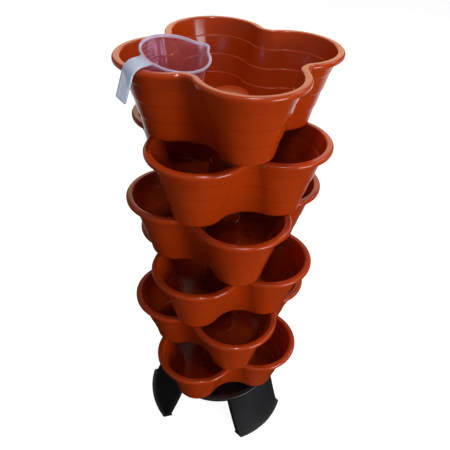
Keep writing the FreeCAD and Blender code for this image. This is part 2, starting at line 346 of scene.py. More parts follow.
def spun(tree: NodeTree, shape: Socket, count: int, turn: Socket) -> Socket:
    """Repeat a shape about the tower's axis.

    Args:
        tree: The tree that repeats it.
        shape: The shape.
        count: Number of copies.
        turn: The turn of each copy.

    Returns:
        The copies.
    """
    spin = add(tree, "CombineXYZ", named={2: turn})
    points = add(tree, "Points", count)
    return add(tree, "InstanceOnPoints", points, named={"Instance": shape, "Rotation": spin})


def placed(name: str, mesh: Mesh, place: Matrix, body: str, nodes: list[str]) -> Object:
    """Put a mesh at its place in the frame and let it stand for its nodes.

    Args:
        name: Name of the piece.
        mesh: The finished mesh, in its own frame.
        place: Where the mesh stands.
        body: The body that the piece rides on.
        nodes: The nodes that the piece stands for.

    Returns:
        The piece.
    """
    mesh.transform(place)
    piece = in_scene(name, mesh)
    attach(piece, body)
    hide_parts(*nodes)
    return piece


def turn_about_z(angle: float) -> Matrix:
    """Return the turn about the tower's axis by this many degrees."""
    return Matrix.Rotation(math.radians(angle), 4, "Z")


def new_material(name: str) -> tuple[Material, NodeTree, Node]:
    """Start a material.

    Args:
        name: The material's name.

    Returns:
        The material, its tree and its surface shader.
    """
    made = bpy.data.materials.new(name)
    made.use_nodes = True
    return made, made.node_tree, made.node_tree.nodes["Principled BSDF"]


@dataclass(frozen=True)
class MouldedPolypropylene:
    """Injection-moulded polypropylene in a body colour.

    A polished mould leaves the skin glossy, with a slight orange peel, and the melt leaves faint clouds
    where the pigment and the gloss vary.
    """

    name: str
    colour: str
    cloud_colour: str
    roughness: float = 0.25
    roughness_spread: float = 0.06
    cloud_size: float = 45.0
    cloud_detail: float = 3.0
    peel_size: float = 1.6
    peel_detail: float = 1.0
    peel_height: float = 0.006
    ior: float = 1.49
    specular: float = 0.5

    def material(self) -> Material:
        """Make the plastic's material, which reads the piece's own place.

        Returns:
            The material.
        """
        made, tree, shader = new_material(self.name)
        place = add(tree, "TexCoord", output="Object")
        clouds, peel = (
            add(tree, "TexNoise", place, named={"Scale": 1 / (size * MM), "Detail": detail})
            for size, detail in ((self.cloud_size, self.cloud_detail), (self.peel_size, self.peel_detail)))
        colour = add(tree, "Mix", clouds, output=2, data_type="RGBA",
                     named={6: linear(self.colour), 7: linear(self.cloud_colour)})
        half = self.roughness_spread / 2
        gloss = add(tree, "MapRange", clouds, *NOISE_RANGE, self.roughness - half, self.roughness + half)
        bump = add(tree, "Bump", named={"Height": peel, "Distance": self.peel_height * MM})
        feed(shader, {"Base Color": colour, "Roughness": gloss, "Normal": bump, "IOR": self.ior,
                      "Specular IOR Level": self.specular})
        return made


@dataclass(frozen=True)
class Strokes:
    """A column of short level strokes: its angle and half width in degrees, and its levels in millimetres."""

    angle: float
    half_angle: float
    first: float
    last: float
    spacing: float
    thickness: float


@dataclass(frozen=True)
class ClearPolypropylene:
    """Random polypropylene with a violet tint, moulded thin.

    The cup is clear with a little haze in its skin, and the strap, which is thicker and has cooled slower, is
    milkier and bluer. Short strokes inside the wall mark the measures: print, painted pale as a glint too.
    """

    name: str
    colour: str
    haze_colour: str
    strap_colour: str
    # Colour of the measure strokes: print, painted pale so that it stands in for their glints too.
    print_and_glint_colour: str
    bead_colour: str
    bead_depth: float
    strap_start: float
    strap_full: float
    strokes: tuple[Strokes, ...] = ()
    transmission: float = 0.96
    bead_transmission: float = 0.45
    strap_transmission: float = 0.45
    bead_blend: float = 0.5
    roughness: float = 0.05
    roughness_spread: float = 0.03
    cloud_size: float = 14.0
    cloud_detail: float = 2.0
    ior: float = 1.49

    def material(self) -> Material:
        """Make the clear plastic's material, which reads the place in the jug's own frame.

        Returns:
            The material.
        """
        made, tree, shader = new_material(self.name)
        place = add(tree, "Attribute", output="Vector", attribute_name=OWN_PLACE)
        split = add(tree, "SeparateXYZ", place, output=None)
        clouds = add(tree, "TexNoise", place,
                     named={"Scale": 1 / (self.cloud_size * MM), "Detail": self.cloud_detail})
        bead, strap = (
            add(tree, "MapRange", along, start * MM, full * MM, interpolation_type="SMOOTHSTEP")
            for along, start, full in ((split[2], -(self.bead_depth + self.bead_blend), -self.bead_depth),
                                       (split[0], self.strap_start, self.strap_full)))
        colour = add(tree, "Mix", clouds, output=2, data_type="RGBA",
                     named={6: linear(self.colour), 7: linear(self.haze_colour)})
        clear = self.transmission
        # The strokes' pale opaque colour is print and a painted glint.
        for mask, its_colour, its_transmission in ((bead, self.bead_colour, self.bead_transmission),
                                                   (strap, self.strap_colour, self.strap_transmission),
                                                   (self.print_and_glint_marks(tree, split), self.print_and_glint_colour, 0.0)):
            colour = add(tree, "Mix", mask, output=2, data_type="RGBA",
                         named={6: colour, 7: linear(its_colour)})
            clear = add(tree, "Mix", mask, named={2: clear, 3: its_transmission})
        half = self.roughness_spread / 2
        gloss = add(tree, "MapRange", clouds, 0.0, 1.0, self.roughness - half, self.roughness + half)
        feed(shader, {"Base Color": colour, "Transmission Weight": clear, "Roughness": gloss,
                      "IOR": self.ior})
        return made

    def print_and_glint_marks(self, tree: NodeTree, split: Outputs) -> Socket:
        """Work out where the measure strokes lie, print with a painted glint, as 1 on them and 0 elsewhere.

        Args:
            tree: The material's tree.
            split: The three coordinates in the jug's own frame.

        Returns:
            The mask.
        """
        angle = add(tree, "Math", split[1], split[0], operation="ARCTAN2")
        mask = 0.0
        for column in self.strokes:
            across = add(tree, "Math", angle, math.radians(column.angle), math.radians(column.half_angle),
                         operation="COMPARE")
            below = add(tree, "Math", split[2], column.first * MM, operation="ADD")
            along = add(tree, "Math", below, column.spacing * MM / 2, operation="PINGPONG")
            thin = add(tree, "Math", along, column.thickness * MM / 2, operation="LESS_THAN")
            deep = add(tree, "Math", split[2], -(column.first + column.last) / 2 * MM,
                       (column.last - column.first) / 2 * MM, operation="COMPARE")
            for factor in (thin, deep):
                across = add(tree, "Math", across, factor, operation="MULTIPLY")
            mask = add(tree, "Math", mask, across, operation="MAXIMUM")
        return mask


@dataclass
class Pots:
    """The six pots. Each one is a four-lobed shell with a rolled rim, three ledges and a hollow column."""

    count: int = 6
    span: float = 340.0
    lobe_radius: float = 80.5
    height: float = 116.5
    wall: float = 2.5
    rim_width: float = 11.0
    rim_roll: float = 4.0
    rim_inner_round: float = 3.0
    lip_depth: float = 7.0
    lip_round: float = 0.8
    wall_inset: float = 30.0
    seat_overhang: float = 11.5
    ledge_count: int = 3
    first_ledge_depth: float = 26.5
    ledge_spacing: float = 28.5
    ledge_step: float = 1.5
    inner_ledge_round: float = 1.2
    outer_ledge_round: float = 4.5
    floor_round: float = 5.5
    column_top_radius: float = 29.0
    column_foot_radius: float = 33.0
    column_height: float = 52.0
    column_round: float = 4.0
    column_foot_round: float = 1.5
    drain_radius: float = 3.0
    drain_circle_radius: float = 46.0
    drain_half_gap: float = 6.5
    drains_per_lobe: int = 2
    lobe_count: int = 4
    lug_depth: float = 5.0
    lug_thickness: float = 3.5
    lug_half_angle: float = 7.0
    lug_clearance: float = 0.5
    lobe_steps: int = 80
    waist_steps: int = 40
    column_steps: int = 96
    drain_steps: int = 20
    lug_steps: int = 13
    finish: MouldedPolypropylene = field(default_factory=lambda: MouldedPolypropylene(
        "terracotta_moulded_polypropylene", "#B23A09", "#A93508", roughness=0.16, specular=0.42))

    def floor_inset(self) -> float:
        """Return how far in from the rim's outer edge the wall meets the floor."""
        return self.rim_width + self.wall_inset

    def plate_inset(self) -> float:
        """Return how far in from the rim's outer edge the flat floor plate starts."""
        return self.floor_inset() - self.wall + self.floor_round

    def band_draft(self) -> float:
        """Return how far the wall comes in over one band between ledges."""
        return (self.wall_inset - self.ledge_count * self.ledge_step) / (self.ledge_count + 1)

    def outline(self) -> dict[str, float]:
        """Work out the sizes of the four-lobed outline.

        The waists are drawn in to the circle that the feet of the lobes above rest on.

        Returns:
            Values of the outline's inputs, in metres and radians.
        """
        distance = self.span / 2 - self.lobe_radius
        seat = self.span / 2 - (self.floor_inset() - self.wall) - self.seat_overhang
        diagonal = math.sqrt(2) * distance
        waist = ((self.lobe_radius ** 2 - seat ** 2 - distance ** 2 + diagonal * seat)
                 / (2 * seat - diagonal - 2 * self.lobe_radius))
        offset = (seat + waist) / math.sqrt(2)
        half_angle = math.atan2(offset, offset - distance)
        return {"Lobe Distance": distance * MM, "Lobe Radius": self.lobe_radius * MM,
                "Lobe Half Angle": half_angle, "Waist Offset": offset * MM, "Waist Radius": waist * MM,
                "Waist Half Angle": half_angle - math.pi / 4, "Seat Radius": seat * MM}

    def wall_side(self, shift: float, floor_level: float, ledge_round: float,
                  corner_round: float) -> list[Corner]:
        """List one face of the wall from under the rim down to the floor plate.

        Args:
            shift: How far out this face lies from the inner one.
            floor_level: Level of the floor that the face runs into.
            ledge_round: Rounding of the ledges' edges.
            corner_round: Rounding between the face and that floor.

        Returns:
            Corners with the inset from the rim's outer edge counted inwards as negative.
        """
        corners = []
        inset = self.rim_width - shift
        for ledge in range(self.ledge_count):
            inset += self.band_draft()
            level = self.height - self.first_ledge_depth - ledge * self.ledge_spacing
            corners.append(Corner(-inset, level, ledge_round))
            inset += self.ledge_step
            corners.append(Corner(-inset, level - self.ledge_step, ledge_round))
        return corners + [Corner(-(self.floor_inset() - shift), floor_level, corner_round),
                          Corner(-self.plate_inset(), floor_level)]

    def wall_corners(self) -> list[Corner]:
        """List the whole wall from the floor plate inside, over the rim, to the underside.

        Returns:
            Its corners.
        """
        top, lip_low, under_rim = self.height, self.height - self.lip_depth, self.height - self.wall
        inner = self.wall_side(0.0, self.wall, self.inner_ledge_round, self.floor_round - self.wall)
        outer = self.wall_side(self.wall, 0.0, self.outer_ledge_round, self.floor_round)
        rim = [Corner(-self.rim_width, top, self.rim_inner_round), Corner(0.0, top, self.rim_roll),
               Corner(0.0, lip_low, self.lip_round), Corner(-self.wall, lip_low, self.lip_round),
               Corner(-self.wall, under_rim, self.lip_round),
               Corner(-(self.rim_width - self.wall), under_rim, self.lip_round)]
        return inner[::-1] + rim + outer

    def column_corners(self) -> tuple[list[Corner], list[Corner]]:
        """List the outside of the column from its top to the floor, and its hollow inside from below.

        Returns:
            The corners of the two.
        """
        foot, top = self.column_foot_radius, self.column_top_radius
        outside = [Corner(0.0, self.column_height), Corner(top, self.column_height, self.column_round),
                   Corner(foot, self.wall, self.column_foot_round),
                   Corner(foot + 2 * self.column_foot_round, self.wall)]
        ceiling = self.column_height - self.wall
        inside = [Corner(foot - self.wall, 0.0),
                  Corner(top - self.wall, ceiling, self.column_round - self.wall), Corner(0.0, ceiling)]
        return outside, inside

    def outline_group(self) -> NodeTree:
        """Build the tree that draws the four-lobed outline at an inset from the rim's outer edge.

        Returns:
            The tree.
        """
        tree, size = new_tree("lobed_outline", {"Float": [*self.outline(), "Inset"]}, "Curve")
        per_quarter = self.lobe_steps + self.waist_steps
        ring = add(tree, "CurvePrimitiveCircle", self.lobe_count * per_quarter)
        index = add(tree, "InputIndex")
        step = add(tree, "Math", index, per_quarter, operation="MODULO")
        share = add(tree, "Math", index, per_quarter, operation="DIVIDE")
        quarter = add(tree, "Math", share, operation="FLOOR")
        turn = add(tree, "Math", quarter, math.pi / 2, operation="MULTIPLY")
        lobe_start = add(tree, "Math", size["Lobe Half Angle"], -1.0, operation="MULTIPLY")
        lobe_angle = add(tree, "MapRange", step, 0.0, self.lobe_steps, lobe_start, size["Lobe Half Angle"])
        waist_middle = math.radians(225)
        waist_ends = [add(tree, "Math", waist_middle, size["Waist Half Angle"], operation=operation)
                      for operation in ("ADD", "SUBTRACT")]
        waist_angle = add(tree, "MapRange", step, self.lobe_steps, per_quarter, *waist_ends)
        points = []
        for operation, radius, angle, centre in (
                ("SUBTRACT", "Lobe Radius", lobe_angle, [size["Lobe Distance"]]),
                ("ADD", "Waist Radius", waist_angle, [size["Waist Offset"]] * 2)):
            reach = add(tree, "Math", size[radius], size["Inset"], operation=operation)
            swung = add(tree, "VectorRotate", add(tree, "CombineXYZ", reach), rotation_type="Z_AXIS",
                        named={"Angle": angle})
            points.append(add(tree, "VectorMath", swung, add(tree, "CombineXYZ", *centre)))
        # Half a step past the lobe's last point, so that rounding can't miss it.
        on_waist = add(tree, "Math", step, self.lobe_steps + 0.5, operation="GREATER_THAN")
        point = add(tree, "Switch", input_type="VECTOR",
                    named={"Switch": on_waist, "False": points[0], "True": points[1]})
        position = add(tree, "VectorRotate", point, named={"Angle": turn}, rotation_type="Z_AXIS")
        add(tree, "GroupOutput", add(tree, "SetPosition", ring, named={"Position": position}))
        return tree

    def drains(self, tree: NodeTree, shape: Socket) -> Socket:
        """Repeat a shape at the drain holes, two in each lobe.

        Args:
            tree: The pot's tree.
            shape: What is repeated.

        Returns:
            The repeated geometry.
        """
        across, lobe = in_pairs(tree, self.drain_half_gap * MM)
        turn = add(tree, "Math", lobe, math.pi / 2, operation="MULTIPLY")
        spot = add(tree, "CombineXYZ", self.drain_circle_radius * MM, across)
        place = add(tree, "VectorRotate", spot, named={"Angle": turn}, rotation_type="Z_AXIS")
        points = add(tree, "Points", self.drains_per_lobe * self.lobe_count, place)
        return add(tree, "RealizeInstances", add(tree, "InstanceOnPoints", points, named={"Instance": shape}))

    def tree(self) -> NodeTree:
        """Build the tree of one pot: wall and rim, floor plate, column, drain holes and lugs.

        Returns:
            The tree.
        """
        sizes = self.outline()
        tree, given = new_tree("four_lobed_pot", {"Float": [*sizes], "Material": ["Finish"],
                                                  "Object": ["Wall", "Column", "Column Hollow", "Lug"]})
        outline = self.outline_group()

        def lobed(inset: float) -> Socket:
            """Return the four-lobed outline at an inset in millimetres."""
            drawn = {name: given[name] for name in sizes}
            return add(tree, "Group", named={**drawn, "Inset": inset * MM}, node_tree=outline)

        parts = [swept(tree, lobed(0.0), given["Wall"])]
        outside, inside = self.column_corners()
        for name, radius in (("Column", outside[-1].across), ("Column Hollow", inside[0].across)):
            rail, drain = (
                add(tree, "CurvePrimitiveCircle", steps, named={"Radius": its_radius * MM})
                for steps, its_radius in ((self.column_steps, radius), (self.drain_steps, self.drain_radius)))
            parts.append(swept(tree, rail, given[name]))
            edges = add(tree, "JoinGeometry", [lobed(self.plate_inset()), rail, self.drains(tree, drain)])
            plate = add(tree, "FillCurve", edges)
            if name == "Column":
                parts.append(add(tree, "Transform", plate, named={"Translation": (0.0, 0.0, self.wall * MM)}))
            else:
                parts.append(add(tree, "FlipFaces", plate))
        bore = add(tree, "CurvePrimitiveLine", named={"End": (0.0, -self.wall * MM, 0.0)})
        tube = add(tree, "CurveToMesh", drain, bore)
        inset_at_lug = self.rim_width + self.band_draft() * self.lug_depth / self.first_ledge_depth
        lug_radius = sizes["Seat Radius"] - (inset_at_lug + self.lug_clearance) * MM
        lug = swept_arc(tree, given["Lug"], lug_radius, self.lug_half_angle, self.lug_steps)
        quarter = add(tree, "Math", add(tree, "InputIndex"), math.pi / 2, operation="MULTIPLY")
        parts += [self.drains(tree, tube), spun(tree, lug, self.lobe_count, quarter)]
        return finish_tree(tree, parts, given["Finish"])

    def build(self) -> list[Object]:
        """Build the six pots, each turned by half a lobe step against the one below.

        Returns:
            The pots from the lowest up.
        """
        outside, inside = self.column_corners()
        lug = block((-self.lug_thickness, 0.0), (self.wall / 2, -self.lug_depth),
                    (0.0, 0.0, self.lip_round, self.lip_round))
        outlines = {"Wall": section("pot_wall_outline", self.wall_corners(), closed=False),
                    "Column": section("column_outline", outside, -outside[-1].across, closed=False),
                    "Column Hollow": section("hollow_outline", inside, -inside[0].across, closed=False),
                    "Lug": section("lug_outline", lug)}
        mesh = grown("four_lobed_pot", self.tree(),
                     {**self.outline(), **outlines, "Finish": self.finish.material()})
        pieces = []
        for number in range(1, self.count + 1):
            node = f"pot_{number}"
            facing = Facing.BETWEEN_AXES if number % 2 else Facing.ON_AXES
            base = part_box(node)[1].z - self.height * MM
            place = Matrix.Translation((0.0, 0.0, base)) @ turn_about_z(facing.value)
            pieces.append(placed(f"planting_{node}", mesh.copy(), place, f"{node}_body", [node]))
        discard(outlines)
        bpy.data.meshes.remove(mesh)
        return pieces


@dataclass
class Stand:
    """The stand: a ring with a tray inside it, and three legs that clip in under its rim."""

    height: float = 106.0
    outer_radius: float = 120.0
    rim_width: float = 11.0
    wall: float = 2.5
    roll: float = 3.0
    lip_depth: float = 7.0
    edge_round: float = 0.7
    tray_depth: float = 14.0
    ring_steps: int = 200
    leg_count: int = 3
    first_leg_angle: float = 60.0
    leg_width: float = 130.0
    leg_wall: float = 3.0
    leg_middle_flare: float = 11.5
    leg_middle_height: float = 56.0
    leg_foot_flare: float = 30.0
    leg_flange_depth: float = 8.0
    leg_edge_round: float = 1.4
    leg_steps: int = 44
    rise_steps: int = 42
    channel_start: float = 1.0
    ceiling_gap: float = 0.3
    ceiling_drop: float = 0.1
    foot_lip: float = 6.0
    foot_return: float = 12.0
    foot_thickness: float = 3.0
    clearance: float = 0.3
    tongue_half_angle: float = 20.0
    tongue_steps: int = 25
    rib_half_angle: float = 0.8
    rib_steps: int = 4
    nib_width: float = 12.0
    nib_height: float = 2.4
    nib_reach: float = 1.4
    finish: MouldedPolypropylene = field(default_factory=lambda: MouldedPolypropylene(
        "black_moulded_polypropylene", "#1B1B1E", "#222226", roughness=0.42))

    @property
    def inner_radius(self) -> float:
        """Radius of the rim's inner edge."""
        return self.outer_radius - self.rim_width

    @property
    def shoulder(self) -> float:
        """Level of the lip's lower edge, where the legs start."""
        return self.height - self.lip_depth

    @property
    def rib_radius(self) -> float:
        """Outer radius of the ribs, inside the lip's skin."""
        return self.outer_radius - self.wall / 2

    @property
    def tongue_radius(self) -> float:
        """Outer radius of a leg's tongue."""
        return self.outer_radius - self.wall - self.clearance

    def ring_corners(self) -> list[Corner]:
        """List the ring's section from the middle of the tray over the rim to the middle below.

        Returns:
            Its corners.
        """
        top, tray, under_rim = self.height, self.height - self.tray_depth, self.height - self.wall
        inner, outer, edge = self.inner_radius, self.outer_radius, self.edge_round
        return [Corner(0.0, tray), Corner(inner, tray, self.wall), Corner(inner, top, self.roll / 2),
                Corner(outer, top, self.roll), Corner(outer, self.shoulder, edge),
                Corner(outer - self.wall, self.shoulder, edge), Corner(outer - self.wall, under_rim, edge),
                Corner(inner + self.wall, under_rim, edge),
                Corner(inner + self.wall, tray - self.wall, self.wall), Corner(0.0, tray - self.wall)]

    def ring_tree(self) -> NodeTree:
        """Build the tree of the ring, with the two ribs at the ends of every leg's socket.

        Returns:
            The tree.
        """
        tree, given = new_tree("stand_ring", {"Object": ["Ring", "Rib"], "Material": ["Finish"]})
        rail = add(tree, "CurvePrimitiveCircle", self.ring_steps, named={"Radius": self.outer_radius * MM})
        ring = swept(tree, rail, given["Ring"])
        rib = swept_arc(tree, given["Rib"], self.rib_radius * MM, self.rib_half_angle, self.rib_steps)
        beside = (math.radians(self.tongue_half_angle) + self.clearance / self.inner_radius
                  + math.radians(self.rib_half_angle))
        swing, leg = in_pairs(tree, beside)
        leg_turn = add(tree, "Math", leg, 2 * math.pi / self.leg_count,
                       math.radians(self.first_leg_angle), operation="MULTIPLY_ADD")
        ribs = spun(tree, rib, 2 * self.leg_count, add(tree, "Math", leg_turn, swing))
        return finish_tree(tree, [ring, ribs], given["Finish"])

    def leg_curve(self) -> dict[str, float]:
        """Work out the centre and the radius of the arc that a leg follows from its shoulder to its foot.

        Returns:
            Values of the arc's inputs, in metres.
        """
        points = [(self.outer_radius, self.shoulder),
                  (self.outer_radius + self.leg_middle_flare, self.leg_middle_height),
                  (self.outer_radius + self.leg_foot_flare, 0.0)]
        (ax, az), (bx, bz), (cx, cz) = points
        twice = 2 * (ax * (bz - cz) + bx * (cz - az) + cx * (az - bz))
        squares = [x * x + z * z for x, z in points]
        across = (squares[0] * (bz - cz) + squares[1] * (cz - az) + squares[2] * (az - bz)) / twice
        level = (squares[0] * (cx - bx) + squares[1] * (ax - cx) + squares[2] * (bx - ax)) / twice
        radius = math.hypot(ax - across, az - level)
        return {"Arc Across": across * MM, "Arc Level": level * MM, "Arc Radius": radius * MM}

    def channel_corners(self) -> list[Corner]:
        """List a leg's level section: a skin with a return at each side, outer face at 0.

        Returns:
            Its corners.
        """
        half, edge, deep = self.leg_width / 2, self.leg_edge_round, -self.leg_flange_depth
        inner = half - self.leg_wall
        spans = [half * (2 * step / self.leg_steps - 1) for step in range(1, self.leg_steps)]
        outside = [Corner(0.0, across) for across in spans if abs(across) < half - 2 * edge]
        inside = [Corner(-self.leg_wall, -across) for across in spans if abs(across) < inner - 2 * edge]
        return ([Corner(0.0, -half, edge)] + outside
                + [Corner(0.0, half, edge), Corner(deep, half, self.edge_round),
                   Corner(deep, inner, self.edge_round), Corner(-self.leg_wall, inner, edge)] + inside
                + [Corner(-self.leg_wall, -inner, edge), Corner(deep, -inner, self.edge_round),
                   Corner(deep, -half, self.edge_round)])

    def ceiling_corners(self) -> list[Corner]:
        """List the level section of the plate that closes a leg's channel under the ring.

        Returns:
            Its corners.
        """
        near, far = -self.leg_wall / 2, -self.leg_flange_depth + self.ceiling_gap
        half = self.leg_width / 2 - self.leg_wall / 2
        spans = [half * (2 * step / self.leg_steps - 1) for step in range(self.leg_steps + 1)]
        return [Corner(near, across) for across in spans] + [Corner(far, -across) for across in spans]

    def leg_tree(self) -> NodeTree:
        """Build the tree of one leg along +X: channel, ceiling, foot, tongue and snap nib.

        Returns:
            The tree.
        """
        tree, given = new_tree("stand_leg", {"Object": ["Channel", "Ceiling", "Foot", "Tongue"],
                                             "Float": [*self.leg_curve()], "Material": ["Finish"]})
        split = add(tree, "SeparateXYZ", add(tree, "InputPosition"), output=None)
        half = self.leg_width / 2

        def straight(name: str, ends: list[tuple[float, float, float]], steps: int) -> Socket:
            """Return a section swept along a straight line between two ends in millimetres."""
            line = add(tree, "CurvePrimitiveLine", *(tuple(value * MM for value in end) for end in ends))
            return swept(tree, add(tree, "ResampleCurve", line, named={"Count": steps}), given[name])

        def side_of(hypotenuse: Socket, side: Socket) -> Socket:
            """Return the other short side of a right-angled triangle."""
            squares = [add(tree, "Math", length, 2.0, operation="POWER") for length in (hypotenuse, side)]
            return add(tree, "Math", add(tree, "Math", *squares, operation="SUBTRACT"), operation="SQRT")

        def wrapped(shape: Socket, radius: Socket) -> Socket:
            """Return the shape wrapped round the tower's axis at a radius that holds for each point."""
            spot = add(tree, "CombineXYZ", side_of(radius, split[1]), split[1], split[2])
            return add(tree, "SetPosition", shape, named={"Position": spot})

        rise = add(tree, "Math", split[2], given["Arc Level"], operation="SUBTRACT")
        bow = side_of(given["Arc Radius"], rise)
        skin = add(tree, "Math", given["Arc Across"], bow, operation="SUBTRACT")
        skin_radius = add(tree, "Math", skin, split[0])
        channel = [(0, 0, self.channel_start), (0, 0, self.shoulder)]
        ceiling = [(0, 0, self.shoulder - self.leg_wall), (0, 0, self.shoulder - self.ceiling_drop)]
        parts = [
            wrapped(straight("Channel", channel, self.rise_steps), skin_radius),
            wrapped(straight("Ceiling", ceiling, len(ceiling)), skin_radius),
            wrapped(straight("Foot", [(0, -half, 0), (0, half, 0)], self.leg_steps + 1), split[0]),
            swept_arc(tree, given["Tongue"], self.tongue_radius * MM, self.tongue_half_angle,
                      self.tongue_steps)]
        root = self.inner_radius + self.wall + 2 * self.clearance
        tip = root - 2 * self.clearance - self.nib_reach
        nib = add(tree, "MeshCube", ((root - tip) * MM, self.nib_width * MM, self.nib_height * MM))
        middle = ((root + tip) / 2 * MM, 0.0, (self.shoulder + self.nib_height / 2) * MM)
        parts.append(add(tree, "Transform", nib, named={"Translation": middle}))
        return finish_tree(tree, parts, given["Finish"])

    def build(self) -> list[Object]:
        """Build the ring and the three legs.

        Returns:
            The ring and then the legs.
        """
        edge = self.edge_round
        rib = block((self.inner_radius + self.wall / 2, self.rib_radius),
                    (self.height - self.wall / 2, self.shoulder), (0.0, 0.0, edge, edge))
        foot_end = self.outer_radius + self.leg_foot_flare
        foot = block((foot_end - self.foot_return, foot_end + self.foot_lip), (self.foot_thickness, 0.0),
                     (edge, 2 * edge, edge, edge))
        tongue = block((self.inner_radius + self.wall + self.clearance, self.tongue_radius),
                       (self.height - self.wall - self.clearance, self.shoulder - self.leg_wall / 2),
                       (edge, edge, 0.0, 0.0))
        outlines = {"Ring": section("ring_outline", self.ring_corners(), -self.outer_radius, closed=False),
                    "Rib": section("rib_outline", rib, -self.rib_radius),
                    "Channel": section("channel_outline", upright(self.channel_corners())),
                    "Ceiling": section("ceiling_outline", upright(self.ceiling_corners())),
                    "Foot": section("foot_outline", foot),
                    "Tongue": section("tongue_outline", tongue, -self.tongue_radius)}
        values = {**outlines, **self.leg_curve(), "Finish": self.finish.material()}
        ring = grown("stand_ring", self.ring_tree(), values)
        leg = grown("stand_leg", self.leg_tree(), values)
        pieces = [placed("ring_with_tray", ring, Matrix.Identity(4), "stand", ["stand_ring"])]
        for number in range(self.leg_count):
            turn = turn_about_z(self.first_leg_angle + number * 360 / self.leg_count)
            node = f"leg_{number + 1}"
            pieces.append(placed(f"splayed_{node}", leg.copy(), turn, "stand", [node]))
        discard(outlines)
        bpy.data.meshes.remove(leg)
        return pieces


